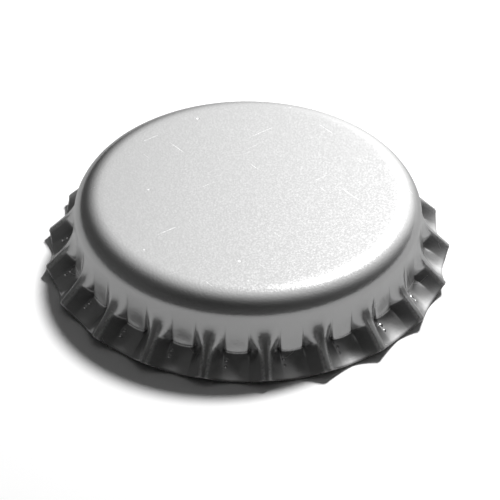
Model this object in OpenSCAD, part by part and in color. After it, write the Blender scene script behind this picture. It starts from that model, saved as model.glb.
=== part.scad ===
// Crown bottle cap, as pressed and before it is crimped on a bottle.
// A flat round panel turns down through a rounded shoulder into a short wall, and the wall opens
// into a corrugated skirt. Sharp ridges lean out to the tooth tips. Between them the wall runs on
// down as smooth lobes, then curves out into scalloped feet that the cap stands on.
// A moulded seal lines the inside of the panel.
// The axis is Z, the feet stand on Z = 0 and the first tooth lies on +X.

/* [Cap] */
// Overall height, from the feet to the panel
cap_h = 6.35; // [5.9:0.05:6.7]
// Diameter inside the wall, where it passes over the bottle's finish
inside_d = 26.75; // [25.5:0.05:28]
// Thickness of the sheet steel
sheet_t = 0.235; // [0.18:0.005:0.28]
// Outer radius of the shoulder between panel and wall
shoulder_r = 1.85; // [1.2:0.05:2]
// Height of the plain wall under the shoulder
wall_h = 0.3; // [0.2:0.05:0.5]

/* [Skirt] */
// Number of teeth
teeth = 21; // [19:1:24]
// Diameter over the tooth tips
tip_d = 32.1; // [31.4:0.05:33]
// Depth below the panel at which the ridges start to lean out
lean_depth = 1.6; // [1.4:0.05:1.8]
// Radius of the curve along which a ridge leans out
lean_r = 3.4; // [3:0.1:3.8]
// Angle of a ridge's straight end, from the vertical
lean_angle = 43.3; // [40:0.1:47]
// Height of the bend where a lobe meets its foot
bend_h = 1.73; // [1.45:0.02:1.93]
// How far a lobe has opened beyond the wall at that bend
bend_out = 0.34; // [0.1:0.02:0.5]
// Angle of a foot at the bend, from the vertical
foot_top_angle = 22; // [16:1:28]
// Angle of a foot at its rim, from the vertical
foot_rim_angle = 72; // [64:1:76]
// Width of a ridge's flat top where it starts
crest_top_w = 0.78; // [0.5:0.02:0.9]
// Width of a ridge's flat top at the tooth tip
crest_tip_w = 0.46; // [0.3:0.02:0.6]
// Width of a lobe between two ridges
lobe_w = 1.84; // [1.4:0.02:2.2]
// How far the middle of a lobe stands proud of its sides
lobe_pillow = 0.1; // [0:0.01:0.16]

/* [Seal] */
// Thickness of the seal's thin middle
seal_web_t = 0.3; // [0.2:0.02:0.5]
// Thickness of the channel that the bottle's lip presses into
seal_channel_t = 0.4; // [0.3:0.02:0.6]
// Diameter along the top of the outer bead
outer_bead_d = 24.5; // [23.8:0.1:24.8]
// Depth of the outer bead below the panel
outer_bead_h = 1.3; // [1:0.05:1.5]
// Radius of the outer bead's round section
outer_bead_r = 0.85; // [0.6:0.05:0.9]
// Diameter along the top of the inner bead
inner_bead_d = 17.8; // [17:0.1:18.6]
// Depth of the inner bead below the panel
inner_bead_h = 0.75; // [0.6:0.05:1]
// Radius of the inner bead's round section
inner_bead_r = 0.6; // [0.4:0.05:0.7]
// Gap between the seal's edge and the wall
seal_gap = 0.05; // [0.02:0.01:0.2]

/* [Hidden] */
$fn = 168;

bore_r = inside_d / 2;
wall_r = bore_r + sheet_t;
tip_r = tip_d / 2;
ceiling_z = cap_h - sheet_t;
shoulder_z = cap_h - shoulder_r;
seam_z = shoulder_z - wall_h;
lean_z = cap_h - lean_depth;

pitch = 360 / teeth;
lobe_half = lobe_w / (2 * wall_r) * 180 / PI / pitch;
crest_top_half = crest_top_w / (2 * wall_r) * 180 / PI / pitch;
crest_tip_half = crest_tip_w / (2 * tip_r) * 180 / PI / pitch;

// Rows of the skirt's surface, as shares of the way from the plain wall down to the bend, and from
// the bend down to the rim. They lie closest together at the bend, which is sharp.
share_above = [0, 0.28, 0.54, 0.77, 0.94, 1];
share_below = [0, 0.14, 0.42, 0.72, 1];
rows_above = len(share_above) - 1;
rows_below = len(share_below) - 1;
rows = rows_above + rows_below;
function above(j) = share_above[min(j, rows_above)];
function below(j) = share_below[max(0, j - rows_above)];
// Columns of half a tooth, from the crest to the middle of a lobe.
half_cols = 6;
cols = 2 * half_cols;
around = cols * teeth;

// The skirt's top edge is sunk this far into the wall, and lies this far inside its two faces.
tongue_h = 0.12;
tongue_inset = 0.005;
// Share of a ridge's height that is lost at the edges of its flat top.
crest_round = 0.05;
// Shape of a ridge across its width: 1 gives flat flanks, and more gives a round back that drops
// steeply at its foot. It is round at the top and flatter at the bend.
arch_top = 2.6;
arch_bend = 1.3;
// Shape of a foot's hollow: 1 gives flat sides, 2 a round trough.
foot_hollow = 1.5;

// Path down a ridge, as [radius, height]: an arc that leans out, then a straight end.
seam_lean = asin((lean_z - seam_z) / lean_r);
lean_end = [wall_r + lean_r * (1 - cos(lean_angle)), lean_z - lean_r * sin(lean_angle)];
crest_end = (tip_r - lean_end[0]) / sin(lean_angle);
function crest_arc(a) = [wall_r + lean_r * (1 - cos(a)), lean_z - lean_r * sin(a)];
function crest(j) =
    crest_arc(seam_lean + (lean_angle - seam_lean) * above(j))
    + [sin(lean_angle), -cos(lean_angle)] * crest_end * below(j);

// Path down the middle of a lobe and its foot, which is an arc that opens like a bell's mouth.
// The foot's lower edge lies at height 0.
function foot_at(j) = foot_top_angle + (foot_rim_angle - foot_top_angle) * below(j);
rim_angle = (foot_at(rows - 1) + foot_rim_angle) / 2;
rim_z = sheet_t * sin(rim_angle);
foot_r = (bend_h - rim_z) / (sin(foot_rim_angle) - sin(foot_top_angle));
function root(j) =
    [wall_r + bend_out * pow(above(j), 1.6), seam_z + (bend_h - seam_z) * above(j)]
    + foot_r * [cos(foot_top_angle) - cos(foot_at(j)), sin(foot_top_angle) - sin(foot_at(j))];

// Places of the columns across half a tooth, in tooth pitches from the crest.
function crest_half(j) = crest_top_half + (crest_tip_half - crest_top_half) * j / rows;
function lobe_edge() = 0.5 - lobe_half;
function flank(j, share) = crest_half(j) + (lobe_edge() - crest_half(j)) * share;
function column(i, j) =
    i == 0 ? 0 :
    i == 1 ? crest_half(j) :
    i == 2 ? flank(j, 0.4) :
    i == 3 ? flank(j, 0.75) :
    i == 4 ? lobe_edge() :
    i == 5 ? lobe_edge() + lobe_half * 0.45 : 0.5;

// Height of the ridge at a place across the tooth, from 0 at the lobe to 1 at the crest.
// Above the bend a ridge has steep sides against the lobes. Below it the feet are troughs.
function side(u, j) = max(0, min(1, (u - crest_half(j)) / (lobe_edge() - crest_half(j))));
function arch(u, j) = 1 - pow(side(u, j), arch_top + (arch_bend - arch_top) * above(j));
function trough(u, j) = pow((0.5 - u) / (0.5 - crest_half(j)), foot_hollow);
function mix(j) = min(1, 2 * below(j));
function ridge(u, j) =
    u < crest_half(j) / 2 ? 1 :
    (1 - crest_round) * ((1 - mix(j)) * arch(u, j) + mix(j) * trough(u, j));

// Sinks the sides of a lobe, so that its middle stands proud.
function beside(u) = u < lobe_edge() ? u / lobe_edge() : (0.5 - u) / lobe_half;
function sunk(u, j) = lobe_pillow * pow(beside(u), 2) * sin(180 * above(j));

function fold(i) = min(i % cols, cols - i % cols);
function angle_at(i, j) =
    let (u = column(fold(i), j), turn = floor(i / cols), back = i % cols > half_cols)
    pitch * (back ? turn + 1 - u : turn + u);
function section(i, j) =
    let (u = column(fold(i), j), top = ridge(u, j))
    j == 0 ? [wall_r - tongue_inset, seam_z]
    : root(j) + top * (crest(j) - root(j)) - [(1 - top) * sunk(u, j), 0];
function outer(i, j) =
    let (p = section(i, j), a = angle_at(i, j))
    [p[0] * cos(a), p[0] * sin(a), p[1]];

// The inner face lies one sheet thickness in from the outer face, square to it.
function wrap(i) = (i + around) % around;
function across(i, j) = outer(wrap(i + 1), j) - outer(wrap(i - 1), j);
function along(i, j) = outer(i, min(j + 1, rows)) - outer(i, max(j - 1, 0));
function inward(i, j) = let (n = cross(across(i, j), along(i, j))) n / norm(n);
function inner(i, j) =
    j == 0
    ? let (a = angle_at(i, 0)) [(bore_r + tongue_inset) * cos(a), (bore_r + tongue_inset) * sin(a), seam_z]
    : outer(i, j) + sheet_t * inward(i, j);

function lifted(p) = [p[0], p[1], p[2] + tongue_h];

// Outline of the pan at a depth of t inside its outer face.
module pan_outline(t) {
    radius = shoulder_r - t;
    translate([0, seam_z]) square([wall_r - t, shoulder_z - seam_z]);
    translate([0, seam_z]) square([wall_r - shoulder_r, cap_h - t - seam_z]);
    translate([wall_r - shoulder_r, shoulder_z]) circle(radius);
}

module pan() {
    rotate_extrude()
    difference() {
        intersection() {
            pan_outline(0);
            translate([0, seam_z]) square([wall_r, cap_h]);
        }
        pan_outline(sheet_t);
    }
}

// The skirt is a closed sheet: outer face down, rim across, inner face up, and a tongue on top.
module skirt() {
    loops = [
        [for (i = [0:around - 1]) lifted(outer(i, 0))],
        for (j = [0:rows]) [for (i = [0:around - 1]) outer(i, j)],
        for (j = [rows:-1:0]) [for (i = [0:around - 1]) inner(i, j)],
        [for (i = [0:around - 1]) lifted(inner(i, 0))],
    ];
    count = len(loops);
    points = [for (loop = loops) each loop];
    faces = [
        for (k = [0:count - 1]) for (i = [0:around - 1])
        let (a = k * around + i, b = k * around + wrap(i + 1))
        let (next = (k + 1) % count - k)
        each [[a, b, b + next * around], [a, b + next * around, a + next * around]]
    ];
    polyhedron(points, faces);
}

module shell() {
    color("silver")
    union() {
        pan();
        skirt();
    }
}

// Space under the panel that the seal may fill, narrower than the pan by the gap at its edge.
module seal_room() {
    edge_r = bore_r - seal_gap;
    corner = shoulder_r - sheet_t;
    translate([0, ceiling_z - outer_bead_h]) square([edge_r - corner, outer_bead_h]);
    translate([edge_r - corner, shoulder_z]) circle(corner);
    translate([0, seam_z]) square([edge_r, shoulder_z - seam_z]);
}

module bead(d, h, r) {
    translate([d / 2, ceiling_z - h + r]) circle(r);
}

module seal() {
    channel_r = inner_bead_d / 2;
    color("whitesmoke")
    rotate_extrude()
    intersection() {
        seal_room();
        union() {
            translate([0, ceiling_z - seal_web_t]) square([channel_r, seal_web_t]);
            translate([channel_r, ceiling_z - seal_channel_t]) square([bore_r - channel_r, seal_channel_t]);
            bead(outer_bead_d, outer_bead_h, outer_bead_r);
            bead(inner_bead_d, inner_bead_h, inner_bead_r);
        }
    }
}

shell();
seal();
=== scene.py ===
from math import cos, pi, radians, sin, tan

import bmesh
import bpy
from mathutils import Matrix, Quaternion, Vector


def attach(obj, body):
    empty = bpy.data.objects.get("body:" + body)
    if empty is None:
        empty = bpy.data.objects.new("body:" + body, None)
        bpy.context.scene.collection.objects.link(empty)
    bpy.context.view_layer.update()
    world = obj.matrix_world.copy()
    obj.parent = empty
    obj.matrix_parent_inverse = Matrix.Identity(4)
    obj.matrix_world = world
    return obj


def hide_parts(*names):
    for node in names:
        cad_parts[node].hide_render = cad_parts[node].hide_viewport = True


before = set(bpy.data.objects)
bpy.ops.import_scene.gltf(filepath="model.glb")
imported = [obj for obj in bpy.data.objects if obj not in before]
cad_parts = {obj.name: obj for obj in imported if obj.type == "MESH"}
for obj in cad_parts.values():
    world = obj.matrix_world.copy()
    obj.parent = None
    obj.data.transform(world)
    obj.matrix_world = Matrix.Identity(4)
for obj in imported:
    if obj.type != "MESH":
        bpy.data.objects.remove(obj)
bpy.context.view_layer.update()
mm = 0.001  # sizes below are in millimetres


def clearSelection():
    if bpy.context.object and bpy.context.object.mode != "OBJECT":
        bpy.ops.object.mode_set(mode="OBJECT")
    bpy.ops.object.select_all(action="DESELECT")


def pickOnly(piece):
    clearSelection()
    piece.select_set(True)
    bpy.context.view_layer.objects.active = piece


# Selects one point of the mesh in edit mode, and says where it is.
def selectPoint(piece, number):
    mesh = bmesh.from_edit_mesh(piece.data)
    mesh.verts.ensure_lookup_table()
    for point in mesh.verts:
        point.select = point.index == number
    mesh.select_flush_mode()
    bmesh.update_edit_mesh(piece.data)
    return mesh.verts[number].co.copy()


def linear(hexColour):
    parts = [int(hexColour[i:i + 2], 16) / 255 for i in (1, 3, 5)]
    return [p / 12.92 if p <= 0.04045 else ((p + 0.055) / 1.055) ** 2.4 for p in parts] + [1]


def node(tree, kind, links=(), **settings):
    made = tree.nodes.new(kind)
    for key, value in settings.items():
        if key[:2] == "in" and key[2:].isdigit():
            made.inputs[int(key[2:])].default_value = value
        else:
            setattr(made, key, value)
    for socket, source in dict(links).items():
        tree.links.new(source, made.inputs[socket])
    return made


cameraSet = {
    "place": (-2.694202, -138.560580, 109.934181),
    "aim": (0.107200, -3.647800, 3.35),
    "roll": 0.4437,  # degrees
    "lens": 159.98,
    "sensor": 36,
}


def addCamera():
    place = Vector(cameraSet["place"]) * mm
    aim = Vector(cameraSet["aim"]) * mm
    bpy.ops.object.camera_add(location=place)
    camera = bpy.context.object
    camera.name = "cameraMain"
    camera.data.lens = cameraSet["lens"]
    camera.data.sensor_width = cameraSet["sensor"]
    camera.data.clip_start = 0.01
    camera.data.clip_end = 20
    camera.rotation_mode = "QUATERNION"
    roll = Quaternion((0, 0, 1), radians(cameraSet["roll"]))
    camera.rotation_quaternion = (aim - place).to_track_quat("-Z", "Y") @ roll
    bpy.context.scene.camera = camera
    bpy.context.scene.view_settings.view_transform = "Standard"
    print("camera is set")


addCamera()


studio = {
    "floorColour": "#ededed",
    "floorShown": 1.25,  # how pale the camera sees the floor
    "floorInMetal": 0.47,  # the same for what the metal mirrors
    "skyLevel": 0.016,
    "softLights": (  # (azimuth, height, where it starts to fade, where it ends, level) of the soft light around
        (54.6, 51.8, 20, 65, 0.15), (62, 4, 12, 42, 0.42), (150, 35, 20, 75, 0.03)),
    "keyAzimuth": 54.6,
    "keyHeight": 51.8,
    "keyAngle": 10,
    "keyDistance": 0.26,
    "keyPower": 4.2,
}


def skyward(azimuth, height):
    a, h = radians(azimuth), radians(height)
    return Vector((cos(a) * cos(h), sin(a) * cos(h), sin(h)))


def addFloor():
    clearSelection()
    bpy.ops.mesh.primitive_plane_add(size=6, location=(0, 0, 0))
    floor = bpy.context.object
    floor.name = "studioFloor"
    paper = bpy.data.materials.new("whitePaper")
    paper.use_nodes = True
    tree = paper.node_tree
    tree.nodes.clear()
    rays = node(tree, "ShaderNodeLightPath")
    plain = linear(studio["floorColour"])
    mirrored = node(tree, "ShaderNodeMath",
                    {0: rays.outputs["Is Glossy Ray"], 1: rays.outputs["Is Transmission Ray"]},
                    operation="MAXIMUM")
    tone = node(tree, "ShaderNodeMix", {0: mirrored.outputs[0]}, data_type="RGBA", in6=plain,
                in7=[c * studio["floorInMetal"] for c in plain[:3]] + [1])
    seen = node(tree, "ShaderNodeMix", {0: rays.outputs["Is Camera Ray"], 6: tone.outputs[2]}, data_type="RGBA",
                in7=[c * studio["floorShown"] for c in plain[:3]] + [1])
    matt = node(tree, "ShaderNodeBsdfDiffuse", {0: seen.outputs[2]})
    node(tree, "ShaderNodeOutputMaterial", {0: matt.outputs[0]})
    floor.data.materials.append(paper)
    return floor


def addSky():
    world = bpy.data.worlds.new("studioSky")
    world.use_nodes = True
    tree = world.node_tree
    tree.nodes.clear()
    rays = node(tree, "ShaderNodeLightPath")
    where = node(tree, "ShaderNodeTexCoord")
    level = node(tree, "ShaderNodeValue")
    level.outputs[0].default_value = studio["skyLevel"]
    for azimuth, height, fadeStart, fadeEnd, strength in studio["softLights"]:
        towards = node(tree, "ShaderNodeVectorMath", {0: where.outputs["Generated"]}, operation="DOT_PRODUCT",
                       in1=skyward(azimuth, height))
        soft = node(tree, "ShaderNodeMapRange", {0: towards.outputs["Value"]}, interpolation_type="SMOOTHSTEP",
                    in1=cos(radians(fadeEnd)), in2=cos(radians(fadeStart)), in3=0, in4=strength)
        level = node(tree, "ShaderNodeMath", {0: level.outputs[0], 1: soft.outputs[0]}, operation="ADD")
    dim = node(tree, "ShaderNodeBackground", {1: level.outputs[0]}, in0=(1, 1, 1, 1))
    white = node(tree, "ShaderNodeBackground", in0=(1, 1, 1, 1), in1=1.0)
    mixed = node(tree, "ShaderNodeMixShader",
                 {0: rays.outputs["Is Camera Ray"], 1: dim.outputs[0], 2: white.outputs[0]})
    node(tree, "ShaderNodeOutputWorld", {0: mixed.outputs[0]})
    bpy.context.scene.world = world


def addLamps():
    direction = skyward(studio["keyAzimuth"], studio["keyHeight"])
    away = studio["keyDistance"]
    bpy.ops.object.light_add(type="AREA", location=direction * away)
    key = bpy.context.object
    key.name = "keyLamp"
    key.data.shape = "DISK"
    key.data.size = 2 * away * tan(radians(studio["keyAngle"] / 2))
    key.data.energy = studio["keyPower"] * pi * away ** 2
    key.rotation_mode = "QUATERNION"
    key.rotation_quaternion = (-direction).to_track_quat("-Z", "Y")


addFloor()
addSky()
addLamps()
print("floor, sky and lamps are set")


# Cold-rolled steel with a tin coat and a clear satin lacquer: bright mirror-like reflections under a
# broad soft sheen. Its fine grain is drawn coarser than it is, because the real one is too fine to show.
tinFinish = {
    "colour": "#dcdcdc",
    "toneSpread": 0.07,     # how far the colour varies with the grain
    "sheenColour": "#f0f0f0",
    "mirrorRoughness": (0.15, 0.27),
    "sheenRoughness": 0.66,
    "sheenShare": 0.3,
    "rubbedShare": 0.5,     # how much the rubbed edges turn from mirror to sheen
    "grainSize": 0.16,      # sizes in mm
    "rollLine": (9, 0.22),  # length and width of the rolling marks
    "rollTurn": 8,
    "scratch": (1.6, 0.06),
    "scratchTurns": ((35, 0.84), (-50, 0.85)),  # (direction, level of the noise that shows as one)
    "scratchRoughness": 0.2,
    "nickSpacing": 1.9,
    "nickSize": 0.15,
    "nickChance": 0.6,      # share of the places that stay without a nick
    "bumpHeight": 0.02,
    "relief": (0.38, 0.02, -0.05, -1.1, 0.9),  # grain, rolling marks, scratches, nicks, puckers
    # places on the flute's own map
    "ridgeEdge": (0.14, 0.11, 0.04),    # place across, and where the rubbing starts and is full
    "rubbedDown": (0.5, 0.66),
    "lip": (0.735, 0.03, 0.01),         # the same down the flute
    "lipAcross": (0.6, 0.65),
    "puckers": ((0.8, 0.84, 0.05, 0.012), (0.79, 0.885, 0.045, 0.01)),  # (place, size)
    "puckerReach": (1.6, 4),            # reach in sizes, and height
    "paintedShadeDepth": 0.4,        # painted shade in the folds and under the lips, a fitted amount and not a known stain: form and light alone leave the folds too light
    "foldSlope": 1.45,
    "foldAcross": (1.3, 1.4),
    "foldLobe": (0.8, 0.56),
    "foldFoot": (0.8, 1, 0.3),          # where it fades on the foot, and what stays at the rim
    # where the painted shade under each lobe's lip lies down the flute, where it fades, and how it keeps off
    # the ridge
    "underLip": (0.738, 0.755),
    "underLipFade": (0.76, 0.97, 0.75),  # where it fades, and its share at the lip
    "offRidge": (0.17, 0.35),
}


def satinTinplate():
    t = tinFinish
    tin = bpy.data.materials.new("satinTinplate")
    tin.use_nodes = True
    tree = tin.node_tree
    tree.nodes.clear()
    here = node(tree, "ShaderNodeTexCoord").outputs["Object"]

    # grain of the lacquer, and long faint marks left by the rolls
    fine = node(tree, "ShaderNodeMapping", {0: here}, in3=(1 / (mm * t["grainSize"]),) * 3)
    grain = node(tree, "ShaderNodeTexNoise", {"Vector": fine.outputs[0]}, in2=1.0, in3=2.0).outputs[0]
    length, width = t["rollLine"]
    rolled = node(tree, "ShaderNodeMapping", {0: here}, vector_type="TEXTURE",
                  in2=(0, 0, radians(t["rollTurn"])), in3=(mm * length, mm * width, mm * length))
    rolls = node(tree, "ShaderNodeTexNoise", {"Vector": rolled.outputs[0]}, in2=1.0, in3=3.0).outputs[0]

    # short scratches in two directions
    scratches = None
    length, width = t["scratch"]
    for turn, level in t["scratchTurns"]:
        turned = node(tree, "ShaderNodeMapping", {0: here}, vector_type="TEXTURE",
                      in2=(0, 0, radians(turn)), in3=(mm * length, mm * width, mm * length))
        noise = node(tree, "ShaderNodeTexNoise", {"Vector": turned.outputs[0]}, in2=0.6, in3=0.0)
        line = node(tree, "ShaderNodeMapRange", {0: noise.outputs[0]}, in1=level, in2=level + 0.05).outputs[0]
        scratches = line if scratches is None else node(
            tree, "ShaderNodeMath", {0: scratches, 1: line}, operation="MAXIMUM").outputs[0]

    # small nicks from lying loose among others, spread evenly
    cells = node(tree, "ShaderNodeMapping", {0: here}, in3=(1 / (mm * t["nickSpacing"]),) * 3)
    spots = node(tree, "ShaderNodeTexVoronoi", {"Vector": cells.outputs[0]}, in2=1.0)
    size = t["nickSize"] / t["nickSpacing"]
    nick = node(tree, "ShaderNodeMapRange", {0: spots.outputs["Distance"]}, in1=size, in2=size * 0.3)
    chance = node(tree, "ShaderNodeSeparateColor", {0: spots.outputs["Color"]})
    some = node(tree, "ShaderNodeMath", {0: chance.outputs[0]}, operation="GREATER_THAN", in1=t["nickChance"])
    nicks = node(tree, "ShaderNodeMath", {0: nick.outputs[0], 1: some.outputs[0]},
                 operation="MULTIPLY").outputs[0]

    # the flute's own map: across is 0 on a ridge and 1 on a lobe, down is 0 on the panel and 1 at the rim
    flute = node(tree, "ShaderNodeSeparateXYZ", {0: node(tree, "ShaderNodeUVMap").outputs[0]})
    across, down = flute.outputs[0], flute.outputs[1]

    # edges of the ridges and lips of the lobes, rubbed in patches
    masks = []
    for along, (place, start, full) in ((across, t["ridgeEdge"]), (down, t["lip"])):
        off = node(tree, "ShaderNodeMath", {0: along}, operation="SUBTRACT", in1=place)
        off = node(tree, "ShaderNodeMath", {0: off.outputs[0]}, operation="ABSOLUTE")
        masks.append(node(tree, "ShaderNodeMapRange", {0: off.outputs[0]}, in1=start, in2=full).outputs[0])
    start, full = t["rubbedDown"]
    lower = node(tree, "ShaderNodeMapRange", {0: down}, in1=start, in2=full)
    start, full = t["lipAcross"]
    beside = node(tree, "ShaderNodeMapRange", {0: across}, in1=start, in2=full)
    edge = node(tree, "ShaderNodeMath", {0: masks[0], 1: lower.outputs[0]}, operation="MULTIPLY")
    lip = node(tree, "ShaderNodeMath", {0: masks[1], 1: beside.outputs[0]}, operation="MULTIPLY")
    rubbed = node(tree, "ShaderNodeMath", {0: edge.outputs[0], 1: lip.outputs[0]}, operation="MAXIMUM")
    worn = node(tree, "ShaderNodeMapRange", {0: grain}, in1=0.3, in2=0.6, in3=0.4)
    rubbed = node(tree, "ShaderNodeMath", {0: rubbed.outputs[0], 1: worn.outputs[0]}, operation="MULTIPLY")
    rubbed = node(tree, "ShaderNodeMath", {0: rubbed.outputs[0], 1: nicks}, operation="MAXIMUM")

    # painted shade: the fitted darker tone of the folds beside the lobes, which widen downwards from a point
    # and fade out over the foot, and of the foot under each lobe's lip
    slant = node(tree, "ShaderNodeMath", {0: down, 2: across}, operation="MULTIPLY_ADD", in1=t["foldSlope"])
    start, full = t["foldAcross"]
    inFold = node(tree, "ShaderNodeMapRange", {0: slant.outputs[0]}, interpolation_type="SMOOTHSTEP",
                  in1=start, in2=full)
    start, full = t["foldLobe"]
    nearLobe = node(tree, "ShaderNodeMapRange", {0: across}, interpolation_type="SMOOTHSTEP", in1=start,
                    in2=full)
    start, full, atRim = t["foldFoot"]
    onFoot = node(tree, "ShaderNodeMapRange", {0: down}, in1=start, in2=full, in3=1, in4=atRim)
    folds = node(tree, "ShaderNodeMath", {0: inFold.outputs[0], 1: nearLobe.outputs[0]}, operation="MULTIPLY")
    folds = node(tree, "ShaderNodeMath", {0: folds.outputs[0], 1: onFoot.outputs[0]}, operation="MULTIPLY")
    start, full = t["underLip"]
    underLip = node(tree, "ShaderNodeMapRange", {0: down}, interpolation_type="SMOOTHSTEP", in1=start, in2=full)
    start, full, atLip = t["underLipFade"]
    fading = node(tree, "ShaderNodeMapRange", {0: down}, interpolation_type="SMOOTHSTEP",
                  in1=start, in2=full, in3=atLip, in4=0)
    start, full = t["offRidge"]
    offRidge = node(tree, "ShaderNodeMapRange", {0: across}, in1=start, in2=full)
    underLip = node(tree, "ShaderNodeMath", {0: underLip.outputs[0], 1: fading.outputs[0]},
                    operation="MULTIPLY")
    underLip = node(tree, "ShaderNodeMath", {0: underLip.outputs[0], 1: offRidge.outputs[0]},
                    operation="MULTIPLY")
    folds = node(tree, "ShaderNodeMath", {0: folds.outputs[0], 1: underLip.outputs[0]}, operation="MAXIMUM")
    # painted shade: the colour falls to one minus the shade depth where the masks are full
    paintedShade = node(tree, "ShaderNodeMapRange", {0: folds.outputs[0]}, in1=0, in2=1, in3=1, in4=1 - t["paintedShadeDepth"])

    # two puckers where each fold runs out into a foot, on one side of the lobe
    place = node(tree, "ShaderNodeSeparateXYZ", {0: here})
    turn = node(tree, "ShaderNodeMath", {0: place.outputs[1], 1: place.outputs[0]}, operation="ARCTAN2")
    turn = node(tree, "ShaderNodeMath", {0: turn.outputs[0]}, operation="MULTIPLY",
                in1=crown["teeth"] / (2 * pi))
    turn = node(tree, "ShaderNodeMath", {0: turn.outputs[0]}, operation="FRACT")
    oneSide = node(tree, "ShaderNodeMath", {0: turn.outputs[0]}, operation="LESS_THAN", in1=0.5)
    puckers = None
    reach, tall = t["puckerReach"]
    for atX, atY, wideX, wideY in t["puckers"]:
        offset = node(tree, "ShaderNodeCombineXYZ")
        for socket, (along, place, wide) in enumerate(((across, atX, wideX), (down, atY, wideY))):
            off = node(tree, "ShaderNodeMath", {0: along}, operation="SUBTRACT", in1=place)
            off = node(tree, "ShaderNodeMath", {0: off.outputs[0]}, operation="DIVIDE", in1=wide)
            tree.links.new(off.outputs[0], offset.inputs[socket])
        away = node(tree, "ShaderNodeVectorMath", {0: offset.outputs[0]}, operation="LENGTH")
        pucker = node(tree, "ShaderNodeMapRange", {0: away.outputs["Value"]}, interpolation_type="SMOOTHSTEP",
                      in1=reach, in2=0, in4=tall).outputs[0]
        puckers = pucker if puckers is None else node(
            tree, "ShaderNodeMath", {0: puckers, 1: pucker}, operation="ADD").outputs[0]
    puckers = node(tree, "ShaderNodeMath", {0: puckers, 1: oneSide.outputs[0]}, operation="MULTIPLY").outputs[0]

    # everything that stands up or lies below the surface
    relief = node(tree, "ShaderNodeMath", {0: grain}, operation="MULTIPLY", in1=t["relief"][0])
    for layer, amount in zip((rolls, scratches, nicks, puckers), t["relief"][1:]):
        relief = node(tree, "ShaderNodeMath", {0: layer, 2: relief.outputs[0]}, operation="MULTIPLY_ADD",
                      in1=amount)
    bump = node(tree, "ShaderNodeBump", {"Height": relief.outputs[0]}).outputs[0]
    bump.node.inputs["Distance"].default_value = t["bumpHeight"] * mm
    bump.node.inputs["Strength"].default_value = 1

    smoothest, roughest = t["mirrorRoughness"]
    roughness = node(tree, "ShaderNodeMapRange", {0: grain}, in1=0.3, in2=0.7, in3=smoothest, in4=roughest)
    roughness = node(tree, "ShaderNodeMath", {0: scratches, 2: roughness.outputs[0]}, operation="MULTIPLY_ADD",
                     in1=t["scratchRoughness"])
    tone = node(tree, "ShaderNodeMapRange", {0: grain}, in1=0.25, in2=0.75)
    darker, lighter = ([c * (1 + spread) for c in linear(t["colour"])[:3]] + [1]
                       for spread in (-t["toneSpread"], t["toneSpread"]))
    colour = node(tree, "ShaderNodeMix", {0: tone.outputs[0]}, data_type="RGBA", in6=darker, in7=lighter)
    # the painted shade darkens both the mirror's colour and the sheen's colour
    colour = node(tree, "ShaderNodeVectorMath", {0: colour.outputs[2], 3: paintedShade.outputs[0]}, operation="SCALE")
    sheenColour = node(tree, "ShaderNodeVectorMath", {3: paintedShade.outputs[0]}, operation="SCALE",
                       in0=linear(t["sheenColour"])[:3])
    mirror = node(tree, "ShaderNodeBsdfPrincipled",
                  {"Base Color": colour.outputs[0], "Roughness": roughness.outputs[0], "Normal": bump})
    mirror.inputs["Metallic"].default_value = 1
    sheen = node(tree, "ShaderNodeBsdfAnisotropic", {"Color": sheenColour.outputs[0], "Normal": bump},
                 distribution="BECKMANN")
    sheen.inputs["Roughness"].default_value = t["sheenRoughness"]
    share = node(tree, "ShaderNodeMath", {0: rubbed.outputs[0]}, operation="MULTIPLY_ADD",
                 in1=t["rubbedShare"], in2=t["sheenShare"])
    both = node(tree, "ShaderNodeMixShader", {0: share.outputs[0], 1: mirror.outputs[0], 2: sheen.outputs[0]})
    node(tree, "ShaderNodeOutputMaterial", {0: both.outputs[0]})
    return tin


# Bare steel where the blank was sheared from the strip: bright, with fine marks across the cut.
steelFinish = {
    "colour": "#e6e6e6",
    "roughness": (0.25, 0.5),
    "mark": (0.12, 1.5),  # width and length of the marks, in mm
    "bumpHeight": 0.01,
}


def cutSteel():
    c = steelFinish
    steel = bpy.data.materials.new("cutSteel")
    steel.use_nodes = True
    tree = steel.node_tree
    tree.nodes.clear()
    where = node(tree, "ShaderNodeTexCoord")
    width, length = c["mark"]
    smoothest, roughest = c["roughness"]
    marks = node(tree, "ShaderNodeMapping", {0: where.outputs["Object"]},
                 in3=(1 / (mm * width), 1 / (mm * width), 1 / (mm * length)))
    noise = node(tree, "ShaderNodeTexNoise", {"Vector": marks.outputs[0]}, in2=1.0, in3=1.0)
    rough = node(tree, "ShaderNodeMapRange", {0: noise.outputs[0]}, in1=0.3, in2=0.7, in3=smoothest,
                 in4=roughest)
    bump = node(tree, "ShaderNodeBump", {"Height": noise.outputs[0]})
    bump.inputs["Distance"].default_value = c["bumpHeight"] * mm
    face = node(tree, "ShaderNodeBsdfPrincipled", {"Roughness": rough.outputs[0], "Normal": bump.outputs[0]})
    face.inputs["Base Color"].default_value = linear(c["colour"])
    face.inputs["Metallic"].default_value = 1
    node(tree, "ShaderNodeOutputMaterial", {0: face.outputs[0]})
    return steel


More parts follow.
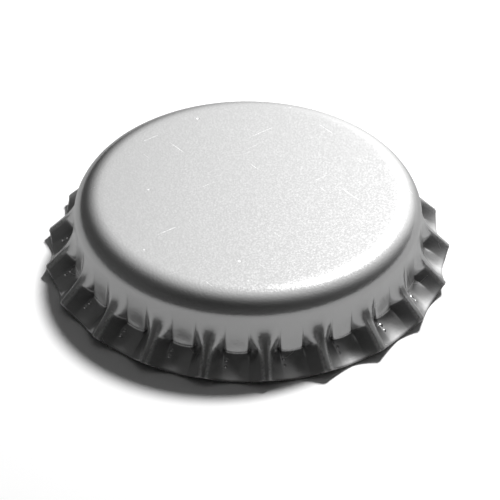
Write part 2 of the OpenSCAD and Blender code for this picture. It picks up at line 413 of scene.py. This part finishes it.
crown = {
    "teeth": 21,
    "height": 6.35,
    "sheet": 0.235,
    "wallR": 13.61,
    "shoulderR": 1.85,
    "shoulderSteps": 5,
    "panelRings": (9.5, 11.5),
    "leanHeight": 4.75,     # where the ridges start to lean out
    "leanCurve": 3.4,
    "leanAngle": 43.3,
    "tipR": 16.065,
    "lobeHeights": (4.3, 3.85, 3.45, 3.1, 2.78, 2.48, 2.2, 1.98, 1.84, 1.74),
    "lobe": 0.92,           # half width of a lobe
    "lobeOut": 0.3,        # how far a lobe bulges at its lower edge
    "lobeLip": 0.05,        # how far that edge stands over the foot
    "lobeDish": 0.06,       # how deep the shallow dish in its lower half is
    "lobeSmile": 0.12,      # how much lower that edge is in its middle
    "crestTop": 0.31,       # half widths of a ridge's flat top
    "crestTip": 0.2,
    "foldDepth": 0.34,      # how far the fold beside a lobe lies behind it
    "rib": 0.07,            # how far a ridge's flat top stands proud of its foot's flanks
    "archTop": 2.6,         # shape of a ridge's flank where it starts and at the bend
    "archBend": 1.2,
    "footTop": 22,          # a foot's angle from the vertical at the bend and at the rim
    "footRim": 72,
    "hollow": 1.5,
    "sharesBelow": (0.08, 0.22, 0.42, 0.64, 0.84, 1),
    "edgeRound": 0.08,
    "crestRows": (9, 6),    # parts of a ridge's narrowing above the bend and below it
    "crestRound": 0.97,     # share of a ridge's height left at the edges of its flat top
    "flankSpots": (0.28, 0.52, 0.76),          # places of the columns on a flank, as shares of it
    "lobeSpots": (-0.05, 0.02, 0.07, 0.2, 0.52),  # the same from a lobe's edge, as distances
    "foldReach": (4, 0.03, 0.15, 1.5),         # how the fold deepens, and how it runs out on the lobe
    "dishFrom": (0.35, 2.2),                   # where the dish starts, and how low it is deepest
    "ribLean": (0.73, 0.68),                   # direction in which the flanks lie behind a ridge's top
}


# Rows of the sheet from the panel down to the rim. Each has its (radius, height) on a lobe and on a
# ridge, and its shares of the way to the bend and from there to the rim.
def crownRows():
    c = crown
    rows = [(Vector((ring, c["height"])),) * 2 + (0, 0) for ring in c["panelRings"]]
    for step in range(c["shoulderSteps"] + 1):
        angle = pi / 2 * step / c["shoulderSteps"]
        spot = Vector((c["wallR"], c["height"])) - Vector((1 - sin(angle), 1 - cos(angle))) * c["shoulderR"]
        if step == c["shoulderSteps"]:
            spot.y = c["leanHeight"]
        rows.append((spot, spot, 0, 0))
    lean = radians(c["leanAngle"])
    leanStart = Vector((c["wallR"], c["leanHeight"]))
    curveEnd = leanStart + Vector((1 - cos(lean), -sin(lean))) * c["leanCurve"]
    straight = (c["tipR"] - curveEnd.x) / sin(lean)
    lowest = c["lobeHeights"][-1]
    for height in c["lobeHeights"]:
        above = (c["leanHeight"] - height) / (c["leanHeight"] - lowest)
        lip = c["lobeLip"] if height == lowest else 0
        root = Vector((c["wallR"] + c["lobeOut"] * above ** 1.4 - lip, height))
        crest = leanStart + Vector((1 - cos(lean * above), -sin(lean * above))) * c["leanCurve"]
        rows.append((root, crest, above, 0))
    top, rim = radians(c["footTop"]), radians(c["footRim"])
    curve = (lowest - c["sheet"] * sin(rim)) / (sin(rim) - sin(top))
    bend = rows[-1][0]
    for below in c["sharesBelow"]:
        angle = top + (rim - top) * below
        foot = bend + Vector((cos(top) - cos(angle), sin(top) - sin(angle))) * curve
        crest = curveEnd + Vector((sin(lean), -cos(lean))) * straight * below
        rows.append((foot, crest, 1, below))
    return rows


# Places across half a tooth in one row, as (distance from the ridge's middle, radius and height).
# The ridge's flank drops into a fold, and the lobe stands proud of the fold down to its lower edge.
def crownPlaces(row):
    c = crown
    root, crest, above, below = row
    half = pi * c["wallR"] / c["teeth"]
    over, under = c["crestRows"]
    top = c["crestTop"] + (c["crestTip"] - c["crestTop"]) * (above * over + below * under) / (over + under)
    edge = half - c["lobe"]
    fade = above ** 3 * max(0, 1 - 3 * below)
    fold = (c["foldDepth"] + c["lobeLip"] * (below > 0)) * fade
    mixed = min(1, 2 * below)
    spots = [0, top - 0.03, top + 0.02] + [top + (edge - top) * share for share in c["flankSpots"]]
    spots += [edge + distance for distance in c["lobeSpots"]] + [half]
    deepens, foldEnd, runOut, runSlope = c["foldReach"]
    dishTop, dishLow = c["dishFrom"]
    places = []
    for spot in spots:
        side = max(0, min(1, (spot - top) / (edge - top)))
        arch = 1 - side ** (c["archTop"] + (c["archBend"] - c["archTop"]) * above)
        trough = ((half - spot) / (half - top)) ** c["hollow"] if spot > top else 1
        share = 1 if spot < top else c["crestRound"] * ((1 - mixed) * arch + mixed * trough)
        inFold = spot < edge + foldEnd
        sunk = fold * (min(1, side * deepens) if inFold else max(0, runOut - (spot - edge)) * runSlope)
        middle = max(0, (spot - edge) / c["lobe"])
        sag = c["lobeSmile"] * fade * (1 - (1 - middle) ** 2)
        lowness = max(0, (above - dishTop) / (1 - dishTop)) ** dishLow
        dish = c["lobeDish"] * sin(pi / 2 * middle) * sin(pi * lowness) * (below == 0)
        ribbed = c["rib"] * min(1, 4 * below) * (share if spot > top else 0)
        behind = Vector((sunk * (1 - share) + dish, sag)) + Vector(c["ribLean"]) * ribbed
        places.append((spot, root + (crest - root) * share - behind))
    return places


# Half a flute, from the middle of a ridge on +X to the middle of a lobe.
def pressHalfFlute():
    rows = crownRows()
    clearSelection()
    bpy.ops.mesh.primitive_grid_add(x_subdivisions=11, y_subdivisions=len(rows) - 1, size=mm)
    flute = bpy.context.object
    flute.name = "crownShell"
    flute.data.materials.append(satinTinplate())
    flute.data.materials.append(cutSteel())
    bpy.ops.object.mode_set(mode="EDIT")
    bpy.ops.mesh.select_mode(type="VERT")
    for number, row in enumerate(rows):
        for column, (across, spot) in enumerate(crownPlaces(row)):
            turn = across / crown["wallR"]
            target = Vector((spot.x * cos(turn), spot.x * sin(turn), spot.y)) * mm
            point = selectPoint(flute, number * 12 + column)
            bpy.ops.transform.translate(value=target - point)
    return flute


# Mirrors the half flute, spins it round the cap and gives the sheet its thickness.
def finishCrown(flute):
    c = crown
    bpy.ops.mesh.select_all(action="SELECT")
    bpy.ops.mesh.duplicate()
    bpy.ops.transform.mirror(constraint_axis=(False, True, False), center_override=(0, 0, 0))
    bpy.ops.mesh.select_all(action="SELECT")
    bpy.ops.mesh.remove_doubles(threshold=1e-7)
    bpy.ops.mesh.normals_make_consistent(inside=False)
    bpy.ops.mesh.spin(steps=c["teeth"], angle=2 * pi, dupli=True, center=(0, 0, 0), axis=(0, 0, 1))
    bpy.ops.mesh.select_all(action="SELECT")
    bpy.ops.mesh.remove_doubles(threshold=1e-6)
    bpy.ops.mesh.normals_make_consistent(inside=False)
    bpy.ops.object.mode_set(mode="OBJECT")
    pickOnly(flute)
    smooth = flute.modifiers.new("smooth", "SUBSURF")
    smooth.levels = 1
    smooth.render_levels = 1
    bpy.ops.object.modifier_apply(modifier="smooth")
    closeMiddle(flute)
    solid = flute.modifiers.new("sheet", "SOLIDIFY")
    solid.thickness = c["sheet"] * mm
    solid.offset = -1
    solid.use_even_offset = True
    solid.material_offset_rim = 1
    bpy.ops.object.modifier_apply(modifier="sheet")
    roundCutEdge(flute)
    bpy.ops.object.shade_smooth_by_angle(angle=radians(40))


# The panel's middle is closed once the sheet is smooth, because a fan of faces slows the smoothing down.
def closeMiddle(flute):
    bpy.ops.object.mode_set(mode="EDIT")
    bpy.ops.mesh.select_mode(type="EDGE")
    mesh = bmesh.from_edit_mesh(flute.data)
    reach = (crown["panelRings"][0] + 0.5) * mm
    for edge in mesh.edges:
        edge.select = edge.is_boundary and edge.verts[0].co.xy.length < reach
    mesh.select_flush_mode()
    bmesh.update_edit_mesh(flute.data)
    bpy.ops.mesh.extrude_edges_move()
    bpy.ops.mesh.merge(type="CENTER")
    bpy.ops.object.mode_set(mode="OBJECT")


# The shears leave the sheet's cut edge with two slightly rounded corners.
def roundCutEdge(flute):
    bpy.ops.object.mode_set(mode="EDIT")
    bpy.ops.mesh.select_mode(type="EDGE")
    mesh = bmesh.from_edit_mesh(flute.data)
    for edge in mesh.edges:
        edge.select = {face.material_index for face in edge.link_faces} == {0, 1}
    mesh.select_flush_mode()
    bmesh.update_edit_mesh(flute.data)
    bpy.ops.mesh.bevel(offset=crown["edgeRound"] * mm, segments=2, affect="EDGES")
    bpy.ops.object.mode_set(mode="OBJECT")


crownShell = pressHalfFlute()
finishCrown(crownShell)
print("crown shell:", len(crownShell.data.vertices), "points,",
      sum(len(face.vertices) - 2 for face in crownShell.data.polygons), "triangles")
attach(crownShell, "root")
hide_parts("shell")


# Polyethylene dropped in as a soft bead and stamped flat in the shell: milky white and satin, with a
# slight grain and the turning marks of the punch as fine rings about the axis.
sealFinish = {
    "colours": ("#dcdbd5", "#eae9e4"),
    "ringStep": 0.45,   # sizes in mm
    "grainSize": 0.4,
    "ringHeight": 0.2,  # of the grain's
    "bumpHeight": 0.012,
    "roughness": (0.36, 0.5),
    "refraction": 1.51,
}


def mouldedPolyethylene():
    p = sealFinish
    soft = bpy.data.materials.new("mouldedPolyethylene")
    soft.use_nodes = True
    tree = soft.node_tree
    tree.nodes.clear()
    where = node(tree, "ShaderNodeTexCoord")
    place = node(tree, "ShaderNodeMapping", {0: where.outputs["Object"]}, in3=(1, 1, 0))
    radius = node(tree, "ShaderNodeVectorMath", {0: place.outputs[0]}, operation="LENGTH")
    turns = node(tree, "ShaderNodeMath", {0: radius.outputs["Value"]}, operation="MULTIPLY",
                 in1=2 * pi / (p["ringStep"] * mm))
    rings = node(tree, "ShaderNodeMath", {0: turns.outputs[0]}, operation="SINE")
    fine = node(tree, "ShaderNodeMapping", {0: where.outputs["Object"]}, in3=(1 / (mm * p["grainSize"]),) * 3)
    grain = node(tree, "ShaderNodeTexNoise", {"Vector": fine.outputs[0]}, in2=1.0, in3=3.0)
    relief = node(tree, "ShaderNodeMath", {0: rings.outputs[0], 2: grain.outputs[0]}, operation="MULTIPLY_ADD",
                  in1=p["ringHeight"])
    bump = node(tree, "ShaderNodeBump", {"Height": relief.outputs[0]})
    bump.inputs["Distance"].default_value = p["bumpHeight"] * mm
    tone = node(tree, "ShaderNodeMapRange", {0: grain.outputs[0]}, in1=0.3, in2=0.7)
    darker, lighter = p["colours"]
    smoothest, roughest = p["roughness"]
    colour = node(tree, "ShaderNodeMix", {0: tone.outputs[0]}, data_type="RGBA", in6=linear(darker),
                  in7=linear(lighter))
    rough = node(tree, "ShaderNodeMapRange", {0: grain.outputs[0]}, in1=0.3, in2=0.7,
                 in3=smoothest, in4=roughest)
    skin = node(tree, "ShaderNodeBsdfPrincipled",
                {"Base Color": colour.outputs[2], "Roughness": rough.outputs[0], "Normal": bump.outputs[0]})
    skin.inputs["IOR"].default_value = p["refraction"]
    node(tree, "ShaderNodeOutputMaterial", {0: skin.outputs[0]})
    return soft


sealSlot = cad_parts["seal"].material_slots[0]
sealSlot.link = "OBJECT"
sealSlot.material = mouldedPolyethylene()
print("seal: the CAD node with its own material")
